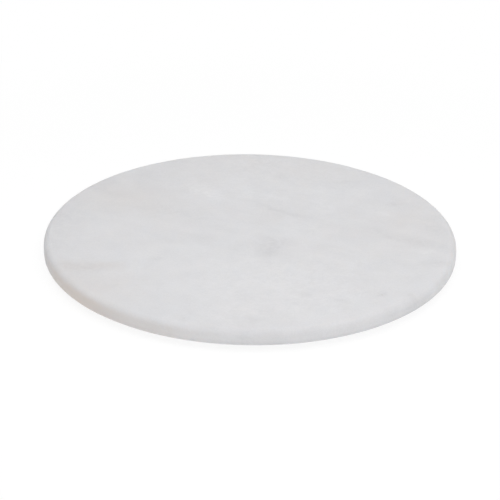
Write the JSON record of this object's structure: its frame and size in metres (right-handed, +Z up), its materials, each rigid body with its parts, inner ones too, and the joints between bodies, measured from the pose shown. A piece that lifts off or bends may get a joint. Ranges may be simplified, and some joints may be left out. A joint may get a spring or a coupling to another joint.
{
  "type": "chopping board",
  "caption": "Round white marble chopping board with eased rims, standing on self-adhesive rubber feet.",
  "frame": {"origin": "On the surface that the board stands on, at the middle of its four feet, under the centre of the marble disc.", "axes": "+Z points up through the middle of the disc, out of its work surface. -Y is the front, the side nearest the viewer of the picture, and +X is to that viewer's right."},
  "size_m": [0.3, 0.3, 0.0159],
  "materials": {
    "honed_white_marble": "satin",
    "grey_rubber": "matte",
    "adhesive_foam": "matte"
  },
  "bodies": {
    "root": {"marble_board": "honed_white_marble", "foot_front_left": "grey_rubber", "foot_front_right": "grey_rubber", "foot_back_right": "grey_rubber", "foot_back_left": "grey_rubber", "adhesive_front_left": "adhesive_foam", "adhesive_front_right": "adhesive_foam", "adhesive_back_right": "adhesive_foam", "adhesive_back_left": "adhesive_foam"}
  },
  "joints": []
}
